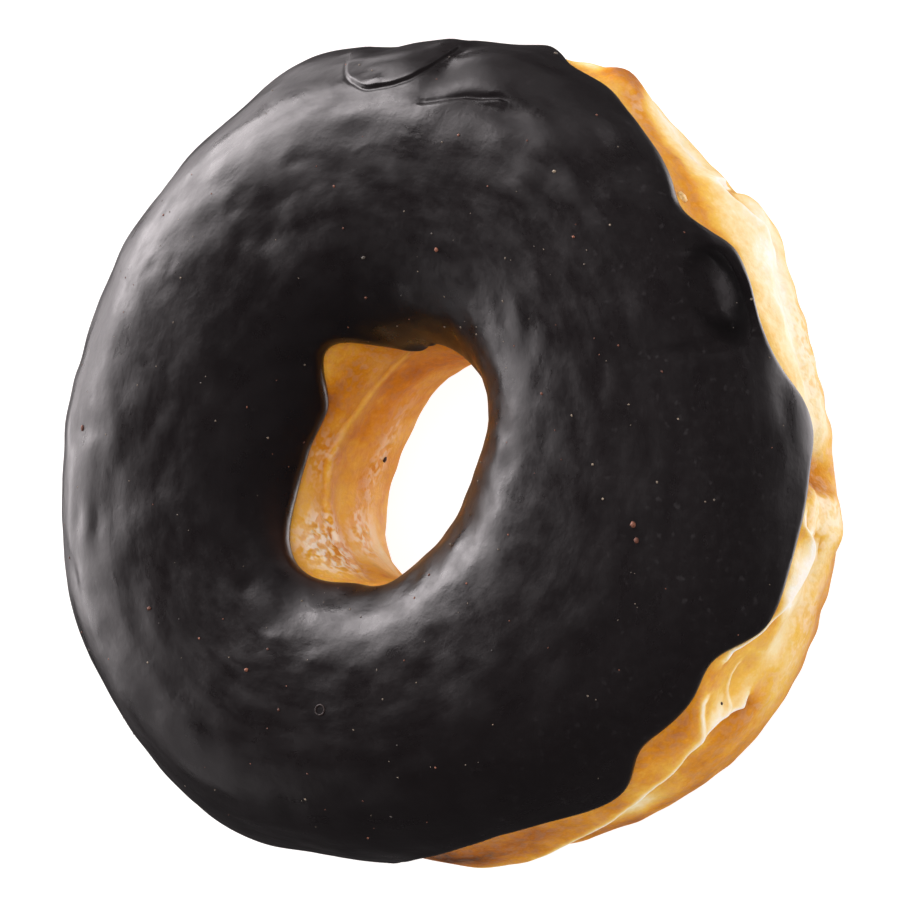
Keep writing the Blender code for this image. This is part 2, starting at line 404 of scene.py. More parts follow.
# Where dusty bloom and painted sheen, a painted reflection, grey the icing, as for the browning
PLAIN_BLOOM_AND_SHEEN = 0.1
BLOOM_AND_SHEEN_PATCHES = (
    # broad greyness: dust and painted sheen
    (-70, 55, 60, 40, 0.6, 1.0),
    # a grey oval in the pocket: a painted reflection
    (-54.3, 35, 4.8, 4.8, 5.0, 1.0, 3.0),
)

# Mesh sizes, before the edges that run along the ring are halved
DOUGH_POINTS = (256, 136)  # along the ring and round its section
BARE_BANDS = ((-8.0, 36.0), (177.0, 34.0))  # middle and reach of where dough shows
HIDDEN_DENSITY = 0.22  # of section points elsewhere, as a share
ICING_POINTS = (256, 144)
ICING_FACE_SHARE = 0.94  # of the icing's section points, those on its outer face
ALONG_TURN = 0.1  # degrees of azimuth that only an edge along the ring spans
FINER_BANDS = (1.3 * MM, 0.7 * MM)  # beside a line, where mesh edges are halved in turn
BESIDE_LINE = 0.4  # what a line's stroke of that reach has to pass there

# The photo's view: looking down across -Y, with +X almost at the top of the picture
IMAGE_SIZE = 900.0
VIEW_TILT = 30.0  # between the line of sight and the ring's axis
VIEW_ROLL = -15.0
VIEW_DISTANCE = 0.5
VIEW_MIDDLE = RING_AXIS
RADIUS_PIXELS = 405.38  # what OUTER_RADIUS spans at that distance
CENTRE_PIXEL = (447.23, 461.91)  # where the middle of the ring falls
SENSOR_WIDTH = 36.0

# Colours of the crust by browning, of its blisters' blush and painted glints, and of the icing
CRUST_COLOURS = (
    (0.0, (0.97, 0.93, 0.83)),
    (0.2, (0.93, 0.76, 0.42)),
    (0.4, (0.86, 0.52, 0.085)),
    (0.6, (0.70, 0.28, 0.014)),
    (0.8, (0.44, 0.13, 0.006)),
    (1.0, (0.13, 0.035, 0.005)),
)
BLUSH_COLOUR = (0.93, 0.62, 0.36)
GLINT_COLOUR = (1.0, 0.93, 0.78)
ICING_COLOURS = ((0.0045, 0.0033, 0.0036), (0.0085, 0.0064, 0.0068))
THIN_ICING_COLOUR = (0.045, 0.019, 0.011)
# grey of the icing's dust and bloom, and of its painted sheen, a painted reflection
BLOOM_AND_SHEEN_COLOUR = (0.036, 0.033, 0.034)
POCKET_COLOUR = (0.0012, 0.0010, 0.0010)

# Patterns of the crust: how far apart their lumps are, and what they do
CRUST_PATCH_SIZE = 4.0 * MM
CRUST_PATCH_SHIFT = 0.08  # of the browning, either way
CRUST_GRAIN_SIZE = 0.9 * MM
CRUST_GRAIN_SHIFT = 0.07
PIMPLE_SIZE = 0.9 * MM
PIMPLE_HEIGHT = 0.09 * MM
PAINTED_GLINT_SPREAD = (0.46, 0.60)  # noise over which their painted glints spread, painted highlights on their tops
PIMPLE_GAPS = (0.36, 0.48)  # noise over which the gaps beside them fade
# how much darker the gaps beside the pimples are, added to the browning value
PIMPLE_GAP_DARKENING = 0.24
BLUSH_SIZE = 2.2 * MM
BLUSH_SHARE = 0.80
BLUSH_SPREAD = (0.44, 0.60)
CRUST_ROUGHNESS = (0.42, 0.66)
CRUST_ROUGHNESS_SIZE = 1.5 * MM
CRUST_SHINE = 0.10
CRUST_BUMPS = (0.8 * MM, 0.12 * MM)  # distance between two and height
CRUST_FINE_BUMPS = (0.28 * MM, 0.03 * MM)
CRUMB_GLOW = 0.10  # share of light that spreads below the crust
CRUMB_GLOW_REACH = 1.2 * MM
CRUMB_GLOW_RATIOS = (1.0, 0.45, 0.2)  # of that reach for red, green and blue light

# Patterns of the icing
ICING_SHADE_SIZE = 6.0 * MM
DUST_SIZE = 0.9 * MM
DUST_SPREAD = (0.66, 0.76)
DUST_SHARE = 0.6
HAZE_SIZE = 1.1 * MM
HAZE_SPREAD = (0.45, 0.75)
HAZE_SHARE = 0.30
PLAIN_DUST = 0.12
SATIN_SIZE = 2.4 * MM
SATIN_ROUGHNESS = (0.22, 0.48)
STREAK_BUMPS = (1.0 * MM, 0.022 * MM)  # distance between two and height
PEEL_BUMPS = (0.7 * MM, 0.020 * MM)

# Patterns of the specks and crumbs
SPECK_SHADE_SIZE = 2.0 * MM
SPECK_ROUGHNESS = (0.4, 0.7)
SPECK_ROUGHNESS_SIZE = 0.3 * MM
SPECK_BUMPS = (0.1 * MM, 0.02 * MM)

# Specks in the icing: how many, smallest and largest radius, seed
PALE_SPECKS = (140, 0.07 * MM, 0.18 * MM, 31)
RUDDY_SPECKS = (80, 0.09 * MM, 0.22 * MM, 32)
PALE_SPECK_COLOURS = ((0.30, 0.24, 0.17), (0.07, 0.065, 0.060))
RUDDY_SPECK_COLOURS = ((0.28, 0.11, 0.065), (0.08, 0.033, 0.024))
SPECK_SECTIONS = (25.0, 145.0)  # section angles between which they lie
SPECK_MARGIN = 1.0 * MM  # least distance from the icing's edges
SPECK_WIDTHS = (0.6, 1.0)  # as shares of their lengths
SPECK_FLATNESS = 0.65
SPECK_SUNK = 0.05  # how deep a speck's middle lies, as a share of its radius
# Larger ones, each with its azimuth, section angle and radius
LARGE_RUDDY_SPECKS = (
    (100.4, 55.2, 0.42 * MM),
    (-92.2, 71.8, 0.42 * MM),
    (-94.6, 69.8, 0.38 * MM),
    (-5.6, 111.5, 0.30 * MM),
    (138.6, 81.5, 0.32 * MM),
    (165.8, 95.0, 0.30 * MM),
)
LARGE_PALE_SPECKS = (
    (19.6, 116.0, 0.30 * MM),
    (-22.4, 65.8, 0.26 * MM),
    (-4.8, 21.5, 0.26 * MM),
)
BUBBLE = (-173.6, 86.8, 0.55 * MM)  # burst bubble: azimuth, section angle, radius of its rim
BUBBLE_THICKNESS = 0.17  # of its rim, as a share of that radius
BUBBLE_COLOURS = ((0.045, 0.028, 0.024), (0.012, 0.010, 0.010))
CRUMB = (-36.2, 31.0, 0.80 * MM)  # golden crumb by the edge of the icing
CRUMB_SHAPE = (1.0, 0.6, 0.55)  # its half lengths, as shares of its radius
CRUMB_LUMPS = ((0.14, 0.45 * MM, 41),)  # height as a share, distance between two, seed
CRUMB_COLOURS = ((0.86, 0.62, 0.28), (0.72, 0.42, 0.12))
CRUST_SPECKS = ((-111.8, 17.5, 0.22 * MM), (98.6, -166.0, 0.42 * MM), (-133.5, 8.0, 0.25 * MM))
CRUST_SPECK_SEED = 42
CRUST_SPECK_COLOURS = ((0.06, 0.03, 0.03), (0.02, 0.012, 0.014))

# Lamps: name, azimuth, elevation, width, height, watts for each square metre, any spin
LAMPS = (
    ("key", 66.0, 19.0, 1.5, 0.72, 28.0, -38.0),
    ("key_side", 104.0, 8.0, 0.7, 1.5, 8.4),
    ("key_low", 72.0, -16.0, 1.8, 0.55, 6.16),
    ("key_near", 32.0, 24.0, 0.45, 0.9, 3.36),
    ("far_side", 138.0, 12.0, 0.8, 1.0, 1.68),
    ("back", 3.0, 8.0, 0.35, 0.7, 2.8),
)
DULL_FILLS = (  # which no gloss mirrors
    ("top", -90.0, 70.0, 1.4, 1.4, 9.0),
    ("side", -10.0, 28.0, 0.8, 0.8, 7.0),
    ("front", -95.0, -6.0, 0.8, 0.8, 7.0),
)
GLOSS_LAMPS = (("edge", -35.0, -58.0, 1.0, 1.5, 10.0),)  # which only gloss shows
LAMP_DISTANCE = 1.5
LAMP_TINT = (1.0, 0.935, 0.955)
WORLD_GREY = (0.065, 0.060, 0.062)
BACKDROP_GREY = (0.88, 0.88, 0.88)
FLOOR_RADIUS = 6.0
FLOOR_COLOUR = (0.30, 0.30, 0.30)
FLOOR_ROUGHNESS = 0.9
FLOOR_GLOW = 0.92
FLOOR_DROP = 0.1 * MM  # below the foot, so that the two don't share a plane


def turned(angle):
    """An angle brought between -180 and 180."""
    return (angle + 180.0) % 360.0 - 180.0


def bell(offset, reach):
    """1 at no offset, falling smoothly to nothing beyond about twice the reach."""
    return np.exp(-((offset / reach) ** 2))


def ramp(value, low, high):
    """0 below low, 1 above high and smooth between them."""
    share = np.clip((value - low) / (high - low), 0.0, 1.0)
    return share * share * (3.0 - 2.0 * share)


def uneven(radius, waves, azimuth):
    """A radius that swells and shrinks by waves round the ring."""
    share = 1.0
    for lobes, height, crest in waves:
        share = share + height * np.cos(np.radians(lobes * (azimuth - crest)))
    return radius * share


def edge_line(level, rises, azimuth):
    """The section angle, at an azimuth, of a line that runs round the ring."""
    line = level + 0.0 * azimuth
    for at, reach, rise in rises:
        line = line + rise * bell(turned(azimuth - at), reach)
    return line


def patch(place, azimuth, section, crispness=1.0):
    """1 at the middle of a round patch, fading away from it, more abruptly if crisp."""
    at_azimuth, at_section, azimuth_reach, section_reach = place
    along = turned(azimuth - at_azimuth) / azimuth_reach
    across = turned(section - at_section) / section_reach
    return np.exp(-((along * along + across * across) ** crispness))


def swelling(swells, azimuth, section):
    """The summed height of a group of swellings."""
    height = 0.0 * azimuth
    for swell in swells:
        peak, *crispness = swell[4:]
        height = height + peak * patch(swell[:4], azimuth, section, *crispness)
    return height


def patched(value, patches, azimuth, section):
    """A field with other values blended in by soft patches."""
    for row in patches:
        tone, strength, *crispness = row[4:]
        value = value + (tone - value) * strength * patch(row[:4], azimuth, section, *crispness)
    return value


def stroke(points, above, below, azimuth, section):
    """1 on a smooth line through points of azimuth and section angle, fading over one length
    towards the top and over another towards the foot, and past its ends."""
    stations, levels = np.array(sorted(points), dtype=float).T
    slopes = np.gradient(levels, stations)
    middle = (stations[0] + stations[-1]) / 2.0
    wanted = middle + turned(azimuth - middle)
    place = np.clip(wanted, stations[0], stations[-1])
    after = np.clip(np.searchsorted(stations, place), 1, len(stations) - 1)
    before = after - 1
    step = stations[after] - stations[before]
    share = (place - stations[before]) / step
    eased = share * share * (3.0 - 2.0 * share)
    level = levels[before] + (levels[after] - levels[before]) * eased
    leaning = slopes[before] * (1.0 - share) - slopes[after] * share
    level = level + step * share * (1.0 - share) * leaning
    slope = slopes[before] * (1.0 - share) + slopes[after] * share
    steepness = np.hypot(1.0, slope * HALF_HEIGHT / OUTER_RADIUS)
    offset = np.radians(turned(section - level)) * HALF_HEIGHT / steepness
    reach = np.where(offset > 0.0, above, below)
    return bell(offset, reach) * bell(wanted - place, LINE_FADE)


def folding(folds, azimuth, section):
    """The summed height of folds along lines."""
    height = 0.0 * azimuth
    for peak, above, below, points in folds:
        height = height + peak * stroke(points, above, below, azimuth, section)
    return height


def lined(value, lines, azimuth, section):
    """A field with other values blended in along lines."""
    for tone, strength, above, below, points in lines:
        value = value + (tone - value) * strength * stroke(points, above, below, azimuth, section)
    return value


def ripples(points, wavelength, seed, waves=28):
    """A smooth random field over points, with bumps about a wavelength apart and spread 1."""
    draw = np.random.default_rng(seed)
    headings = draw.normal(size=(waves, points.shape[-1]))
    headings /= np.linalg.norm(headings, axis=1, keepdims=True)
    starts = draw.uniform(0.0, 2.0 * math.pi, waves)
    field = 0.0
    for heading, start in zip(headings, starts):
        field = field + np.cos(points @ heading * (2.0 * math.pi / wavelength) + start)
    return field * math.sqrt(2.0 / waves)


def rippling(kinds, points):
    """The summed height over points of ripples of several kinds."""
    height = 0.0
    for peak, wavelength, seed in kinds:
        height = height + peak * ripples(points, wavelength, seed)
    return height


def dough_relief(azimuth, section):
    """How far the dough stands out of its plain section."""
    waist = edge_line(WAIST_LEVEL, WAIST_RISES, azimuth)
    crease = edge_line(HOLE_CREASE_LEVEL, HOLE_CREASE_RISES, azimuth)
    relief = swelling(DOUGH_SWELLS, azimuth, section)
    relief = relief - WAIST_DEPTH * bell(turned(section - waist), WAIST_REACH)
    return relief - HOLE_CREASE_DEPTH * bell(turned(section - crease), HOLE_CREASE_REACH)


def ring_point(azimuth, section, lift):
    """Points that stand lift above the dough, at an azimuth and a section angle."""
    outer = uneven(OUTER_RADIUS, OUTER_WAVES, azimuth)
    inner = uneven(HOLE_RADIUS, HOLE_WAVES, azimuth)
    middle, half_width = (outer + inner) / 2.0, (outer - inner) / 2.0
    turn = np.radians(section)
    across, up = np.cos(turn), np.sin(turn)
    size = 1.0 + SQUARENESS * (1.0 - np.cos(4.0 * turn))
    growth = 4.0 * SQUARENESS * np.sin(4.0 * turn)
    run_across = half_width * (growth * across - size * up)
    run_up = HALF_HEIGHT * (growth * up + size * across)
    run = np.hypot(run_across, run_up)
    out = lift + dough_relief(azimuth, section)
    radius = middle + half_width * size * across + out * run_up / run
    height = HALF_HEIGHT * size * up - out * run_across / run
    height = np.maximum(height + HALF_HEIGHT - FOOT_FLAT, 0.0)
    heading = np.radians(azimuth)
    return np.stack(
        [RING_AXIS[0] + radius * np.cos(heading), RING_AXIS[1] + radius * np.sin(heading), height],
        axis=-1,
    )


def icing_edges(azimuth):
    """The section angles of the icing's outer edge and of its edge in the hole."""
    outer_edge = edge_line(OUTER_EDGE_LEVEL, OUTER_EDGE_RISES, azimuth)
    hole_edge = edge_line(HOLE_EDGE_LEVEL, HOLE_EDGE_RISES, azimuth)
    return outer_edge, hole_edge


def bare(azimuth, section):
    """1 where no icing covers the dough and 0 under it."""
    outer_edge, hole_edge = icing_edges(azimuth)
    past_outer = ramp(outer_edge - section, *EDGE_OVERLAP)
    past_hole = ramp(section - hole_edge, *EDGE_OVERLAP)
    below = (section < -90.0) * 1.0
    return np.clip(past_outer + past_hole + below, 0.0, 1.0)


def crowded(turn):
    """Section angles of evenly turned points, which lie closer where dough shows."""
    fine = np.linspace(-180.0, 180.0, 3601)
    density = HIDDEN_DENSITY + 0.0 * fine
    for middle, reach in BARE_BANDS:
        density = density + bell(turned(fine - middle), reach)
    spread = np.cumsum(density)
    spread = 360.0 * (spread - spread[0]) / (spread[-1] - spread[0]) - 180.0
    return np.interp(turn, spread, fine)


def blistered(azimuth, section):
    """How blistered the crust is, from 0 to 1."""
    return patched(PLAIN_BLISTERS + 0.0 * azimuth, BLISTER_PATCHES, azimuth, section)


def dough_texture(azimuth, section):
    """Fine relief of the crust: folds, steep hollows and knobs, ripples and blisters."""
    plain = ring_point(azimuth, section, 0.0)
    relief = folding(DOUGH_FOLDS, azimuth, section) + swelling(DOUGH_DENTS, azimuth, section)
    relief = relief + rippling(CRUST_RIPPLES, plain)
    relief = relief + rippling(BLISTER_RIPPLES, plain) * blistered(azimuth, section)
    return relief * bare(azimuth, section)


def dough_place(azimuth, turn):
    """Azimuth, section angle and height above the plain dough of the ring's fine mesh."""
    section = crowded(turn)
    return azimuth, section, dough_texture(azimuth, section)


def dragged(azimuth, section):
    """Points on the ring, drawn together along it, so that what is even there is a streak."""
    radius = STREAK_SHORTENING * (OUTER_RADIUS + HOLE_RADIUS) / 2.0
    heading = np.radians(azimuth)
    across = np.radians(section) * HALF_HEIGHT
    return np.stack([radius * np.cos(heading), radius * np.sin(heading), across], axis=-1)


def icing_texture(azimuth, section):
    """Fine relief of the icing: folds, dents, streaks and a faint unevenness."""
    relief = swelling(ICING_DENTS, azimuth, section) + folding(ICING_FOLDS, azimuth, section)
    relief = relief + rippling(ICING_STREAKS, dragged(azimuth, section))
    return relief + rippling(ICING_RIPPLES, ring_point(azimuth, section, 0.0))


def edge_distance(azimuth, section):
    """How far a place on the icing lies from its nearer edge, across that edge."""
    outer_edge, hole_edge = icing_edges(azimuth)
    outer_next, hole_next = icing_edges(azimuth + 1.0)
    length_across = math.radians(1.0) * HALF_HEIGHT
    distances = []
    for gap, slope, radius in (
        (section - outer_edge, outer_next - outer_edge, OUTER_RADIUS),
        (hole_edge - section, hole_next - hole_edge, HOLE_EDGE_RADIUS),
    ):
        lean = slope * length_across / (math.radians(1.0) * radius)
        distances.append(np.maximum(gap, 0.0) * length_across / np.hypot(1.0, lean))
    return np.minimum(*distances)


def icing_height(azimuth, section):
    """How high the icing's outer face stands above the dough."""
    thickness = ICING_THICKNESS + swelling(ICING_SWELLS, azimuth, section)
    thickness = np.maximum(thickness + icing_texture(azimuth, section), ICING_THINNEST)
    inwards = np.clip(edge_distance(azimuth, section) / BEAD_WIDTH, 0.0, 1.0)
    bead = np.sqrt(inwards * (2.0 - inwards))
    return (thickness + ICING_TUCK) * bead - ICING_TUCK


def icing_place(azimuth, turn):
    """Azimuth, section angle and height of the icing's mesh: turns of 0 to 180 run over its
    outer face from the outer edge to the edge in the hole, the others back along its underside."""
    face = 360.0 * ICING_FACE_SHARE
    turn = turn % 360.0
    on_face = turn <= face
    spread = np.where(on_face, 180.0 * turn / face, 180.0 + 180.0 * (turn - face) / (360.0 - face))
    outer_edge, hole_edge = icing_edges(azimuth)
    middle, half_span = (outer_edge + hole_edge) / 2.0, (hole_edge - outer_edge) / 2.0
    section = middle - half_span * np.cos(np.radians(spread))
    return azimuth, section, np.where(on_face, icing_height(azimuth, section), -ICING_TUCK)


def torus_turns(points):
    """The azimuths and the turns round the section of points of the plain torus."""
    x, y, z = points.T
    azimuth = np.degrees(np.arctan2(y, x))
    return azimuth, np.degrees(np.arctan2(z, np.hypot(x, y) - OUTER_RADIUS))


def halve_along(mesh):
    """Halves the plain torus's edges that run along the ring."""
    azimuth, _ = torus_turns(np.array([vertex.co for vertex in mesh.verts]))
    along = []
    for edge in mesh.edges:
        first, second = (azimuth[vertex.index] for vertex in edge.verts)
        if abs(turned(second - first)) > ALONG_TURN:
            along.append(edge)
    bmesh.ops.subdivide_edges(mesh, edges=along, cuts=1, use_grid_fill=True)
    mesh.verts.index_update()


def refine(data, place, folds):
    """Halves the plain torus's edges along the ring, and those beside the lines of folds."""
    mesh = bmesh.new()
    mesh.from_mesh(data)
    halve_along(mesh)
    for reach in FINER_BANDS:
        points = np.array([vertex.co for vertex in mesh.verts])
        azimuth, section, _ = place(*torus_turns(points))
        strokes = [stroke(fold[-1], reach, reach, azimuth, section) for fold in folds]
        near = np.max(strokes, axis=0) > BESIDE_LINE
        edges = [edge for edge in mesh.edges if all(near[vertex.index] for vertex in edge.verts)]
        bmesh.ops.subdivide_edges(mesh, edges=edges, cuts=1, use_grid_fill=True)
        mesh.verts.index_update()
    mesh.to_mesh(data)
    mesh.free()


def add_ring(name, points, place, folds, material):
    """A torus whose every point is moved to where place puts its azimuth and its turn."""
    bpy.ops.mesh.primitive_torus_add(
        major_radius=OUTER_RADIUS,
        minor_radius=OUTER_RADIUS / 2.0,
        major_segments=points[0],
        minor_segments=points[1],
    )
    ring = bpy.context.object
    ring.name = name
    ring.data.name = name
    refine(ring.data, place, folds)
    count = len(ring.data.vertices)
    plain = np.empty(count * 3)
    ring.data.vertices.foreach_get("co", plain)
    azimuth, section, height = place(*torus_turns(plain.reshape(count, 3)))
    ring.data.vertices.foreach_set("co", ring_point(azimuth, section, height).ravel())
    ring.data.materials.append(material)
    ring.data.shade_smooth()
    ring.data.update()
    return ring, azimuth, section


def paint(piece, name, values):
    """Keeps a number for each point of a mesh, or three, for its material."""
    values = np.asarray(values, dtype=np.float32)
    kind, field = ("FLOAT", "value") if values.ndim == 1 else ("FLOAT_VECTOR", "vector")
    layer = piece.data.attributes.new(name, kind, "POINT")
    layer.data.foreach_set(field, values.ravel())


def new_material(name):
    """A material with nothing but its shader and output, its tree and its shader."""
    material = bpy.data.materials.new(name)
    material.use_nodes = True
    tree = material.node_tree
    return material, tree, tree.nodes["Principled BSDF"]


def feed(tree, socket, value):
    """Links or sets a socket."""
    if isinstance(value, bpy.types.NodeSocket):
        tree.links.new(value, socket)
    elif isinstance(value, tuple):
        socket.default_value = (*value, 1.0)
    else:
        socket.default_value = value


def add_noise(tree, place, size, detail=2.0, roughness=0.5):
    """Noise whose lumps are about size metres apart."""
    node = tree.nodes.new("ShaderNodeTexNoise")
    feed(tree, node.inputs["Vector"], place)
    feed(tree, node.inputs["Scale"], 1.0 / size)
    feed(tree, node.inputs["Detail"], detail)
    feed(tree, node.inputs["Roughness"], roughness)
    return node.outputs["Fac"]


def add_math(tree, operation, first, second):
    """A sum or a product."""
    node = tree.nodes.new("ShaderNodeMath")
    node.operation = operation
    feed(tree, node.inputs[0], first)
    feed(tree, node.inputs[1], second)
    return node.outputs[0]


def add_spread(tree, value, low, high, darkest=0.3, lightest=0.7):
    """Brings a value between darkest and lightest to the range from low to high."""
    node = tree.nodes.new("ShaderNodeMapRange")
    feed(tree, node.inputs["Value"], value)
    feed(tree, node.inputs["From Min"], darkest)
    feed(tree, node.inputs["From Max"], lightest)
    feed(tree, node.inputs["To Min"], low)
    feed(tree, node.inputs["To Max"], high)
    return node.outputs[0]


def add_ramp(tree, value, stops):
    """A colour ramp from stops of place and colour."""
    node = tree.nodes.new("ShaderNodeValToRGB")
    tree.links.new(value, node.inputs[0])
    elements = node.color_ramp.elements
    while len(elements) < len(stops):
        elements.new(0.5)
    for element, (place, colour) in zip(elements, stops):
        element.position = place
        element.color = (*colour, 1.0)
    return node.outputs["Color"]


def add_mix(tree, share, first, second):
    """A mix of two colours."""
    node = tree.nodes.new("ShaderNodeMix")
    node.data_type = "RGBA"
    sockets = (node.inputs[0], node.inputs[6], node.inputs[7])
    for socket, value in zip(sockets, (share, first, second)):
        feed(tree, socket, value)
    return node.outputs[2]


def add_bump(tree, height, distance, strength=1.0, normal=None):
    """Bumps as high as a distance where the height is 1, on top of others if given."""
    node = tree.nodes.new("ShaderNodeBump")
    feed(tree, node.inputs["Height"], height)
    feed(tree, node.inputs["Distance"], distance)
    feed(tree, node.inputs["Strength"], strength)
    if normal is not None:
        feed(tree, node.inputs["Normal"], normal)
    return node.outputs["Normal"]


def add_bumps(tree, place, bumps, detail=2.0, roughness=0.5, strength=1.0, normal=None):
    """Bumps of noise, with a distance between two of them and a height."""
    size, height = bumps
    noise = add_noise(tree, place, size, detail, roughness)
    return add_bump(tree, noise, height, strength, normal)


def attribute(tree, name, output="Fac"):
    """What paint kept for each point of a mesh."""
    node = tree.nodes.new("ShaderNodeAttribute")
    node.attribute_name = name
    return node.outputs[output]


def coordinates(tree):
    """Where each point of a piece lies."""
    return tree.nodes.new("ShaderNodeTexCoord").outputs["Object"]


def dress(tree, shader, colour, roughness, normal):
    """Gives a shader its colour, roughness and bumps."""
    feed(tree, shader.inputs["Base Color"], colour)
    feed(tree, shader.inputs["Roughness"], roughness)
    feed(tree, shader.inputs["Normal"], normal)


def dough_material():
    """Fried dough: cream where pale, through gold and orange to brown; painted shade, highlights,
    glints.
    """
    material, tree, shader = new_material("fried_dough")
    place = coordinates(tree)
    blisters = attribute(tree, "blisters")
    patches = add_noise(tree, place, CRUST_PATCH_SIZE, detail=4.0, roughness=0.6)
    grain = add_noise(tree, place, CRUST_GRAIN_SIZE, detail=3.0)
    pimples = add_noise(tree, place, PIMPLE_SIZE, detail=1.0)
    gaps = add_spread(tree, pimples, PIMPLE_GAP_DARKENING, 0.0, *PIMPLE_GAPS)
    baked_and_painted_light = attribute(tree, "browning_and_painted_light")
    for shift in (
        add_spread(tree, patches, -CRUST_PATCH_SHIFT, CRUST_PATCH_SHIFT),
        add_spread(tree, grain, -CRUST_GRAIN_SHIFT, CRUST_GRAIN_SHIFT),
        add_math(tree, "MULTIPLY", gaps, blisters),
    ):
        baked_and_painted_light = add_math(tree, "ADD", baked_and_painted_light, shift)
    colour = add_ramp(tree, baked_and_painted_light, CRUST_COLOURS)
    blush = add_noise(tree, place, BLUSH_SIZE, detail=4.0, roughness=0.6)
    blush = add_spread(tree, blush, 0.0, BLUSH_SHARE, *BLUSH_SPREAD)
    colour = add_mix(tree, add_math(tree, "MULTIPLY", blush, blisters), colour, BLUSH_COLOUR)
    # painted glints: painted highlights on the blisters' tops
    glints = add_spread(tree, pimples, 0.0, 1.0, *PAINTED_GLINT_SPREAD)
    glints = add_math(tree, "MULTIPLY", glints, blisters)
    colour = add_mix(tree, glints, colour, GLINT_COLOUR)
    rough = add_spread(tree, add_noise(tree, place, CRUST_ROUGHNESS_SIZE), *CRUST_ROUGHNESS)
    coarse = add_bumps(tree, place, CRUST_BUMPS, detail=3.0)
    raised = add_bump(tree, glints, PIMPLE_HEIGHT, normal=coarse)
    fine = add_bumps(tree, place, CRUST_FINE_BUMPS, normal=raised)
    dress(tree, shader, colour, rough, fine)
    shader.inputs["Specular IOR Level"].default_value = CRUST_SHINE
    shader.inputs["Subsurface Weight"].default_value = CRUMB_GLOW
    shader.inputs["Subsurface Radius"].default_value = CRUMB_GLOW_RATIOS
    shader.inputs["Subsurface Scale"].default_value = CRUMB_GLOW_REACH
    return material


def icing_material():
    """Set chocolate icing: nearly black with a satin gloss, browner where it is thin, greyed by
    dust and painted sheen.
    """
    material, tree, shader = new_material("chocolate_icing")
    place = coordinates(tree)
    streaked = attribute(tree, "streaked", "Vector")
    dullness = attribute(tree, "dullness")
    shade = add_noise(tree, place, ICING_SHADE_SIZE, detail=3.0)
    dust_and_sheen = add_noise(tree, place, DUST_SIZE, detail=1.0)
    dust_and_sheen = add_spread(tree, dust_and_sheen, 0.0, DUST_SHARE, *DUST_SPREAD)
    haze = add_noise(tree, place, HAZE_SIZE, detail=5.0, roughness=0.7)
    haze = add_spread(tree, haze, 0.0, HAZE_SHARE, *HAZE_SPREAD)
    dust_and_sheen = add_math(tree, "ADD", add_math(tree, "ADD", dust_and_sheen, haze), PLAIN_DUST)
    # painted sheen: where the bloom value is high, the grey stands in for a reflection
    dust_and_sheen = add_math(tree, "MULTIPLY", dust_and_sheen, attribute(tree, "bloom_and_sheen"))
    colour = add_mix(tree, dust_and_sheen, add_mix(tree, shade, *ICING_COLOURS), BLOOM_AND_SHEEN_COLOUR)
    colour = add_mix(tree, attribute(tree, "thin"), colour, THIN_ICING_COLOUR)
    colour = add_mix(tree, dullness, POCKET_COLOUR, colour)
    satin = add_noise(tree, streaked, SATIN_SIZE, detail=5.0, roughness=0.6)
    satin = add_spread(tree, satin, *SATIN_ROUGHNESS)
    streaks = add_bumps(tree, streaked, STREAK_BUMPS, 3.0, 0.6, dullness)
    peel = add_bumps(tree, place, PEEL_BUMPS, strength=dullness, normal=streaks)
    dress(tree, shader, colour, add_math(tree, "MULTIPLY", satin, dullness), peel)
    return material


def speck_material(name, light, dark):
    """Crumbs and specks of one family of colours, each a little different."""
    material, tree, shader = new_material(name)
    place = coordinates(tree)
    shade = add_spread(tree, add_noise(tree, place, SPECK_SHADE_SIZE, detail=1.0), 0.0, 1.0)
    rough = add_noise(tree, place, SPECK_ROUGHNESS_SIZE, detail=1.0)
    rough = add_spread(tree, rough, *SPECK_ROUGHNESS)
    colour = add_mix(tree, shade, light, dark)
    dress(tree, shader, colour, rough, add_bumps(tree, place, SPECK_BUMPS))
    return material


def browning_and_painted_light(azimuth, section):
    """How brown the crust is, with painted shade and painted highlights: 0 at its palest, 1 at its
    darkest.
    """
    above = turned(section - edge_line(WAIST_LEVEL, WAIST_RISES, azimuth))
    lower, lower_start, lower_end = LOWER_BROWNING
    foot, foot_start, foot_end = FOOT_BROWNING
    crust = CRUST_TONE + lower * ramp(-above, lower_start, lower_end)
    crust = crust + foot * ramp(-section, foot_start, foot_end)
    crust = crust + (WAIST_TONE - crust) * bell(above, WAIST_TONE_REACH)
    # painted shade and painted highlights: the patches and lines darken hollows, a groove and the
    # crust below a lip, and pale the crests of lips and ridges
    crust = patched(crust, BROWN_AND_PAINTED_LIGHT_PATCHES, azimuth, section)
    crust = lined(crust, BROWN_AND_PAINTED_LIGHT_LINES, azimuth, section)
    in_hole = 1.0 - ramp(np.abs(turned(section - 180.0)), *WALL_SPAN)
    wall = patched(WALL_TONE + 0.0 * azimuth, HOLE_BROWN_PATCHES, azimuth, section)
    wall = lined(wall, BROWN_AND_PAINTED_LIGHT_LINES, azimuth, section)
    return crust * (1.0 - in_hole) + wall * in_hole


def build_dough():
    """The fried ring, with its browning, in which shade and highlights are painted, and its
    blisters.
    """
    shape = (DOUGH_POINTS, dough_place, DOUGH_FOLDS)
    ring, azimuth, section = add_ring("dough", *shape, dough_material())
    paint(ring, "browning_and_painted_light", browning_and_painted_light(azimuth, section))
    paint(ring, "blisters", blistered(azimuth, section))
    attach(ring, "root")
    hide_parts("dough_ring")


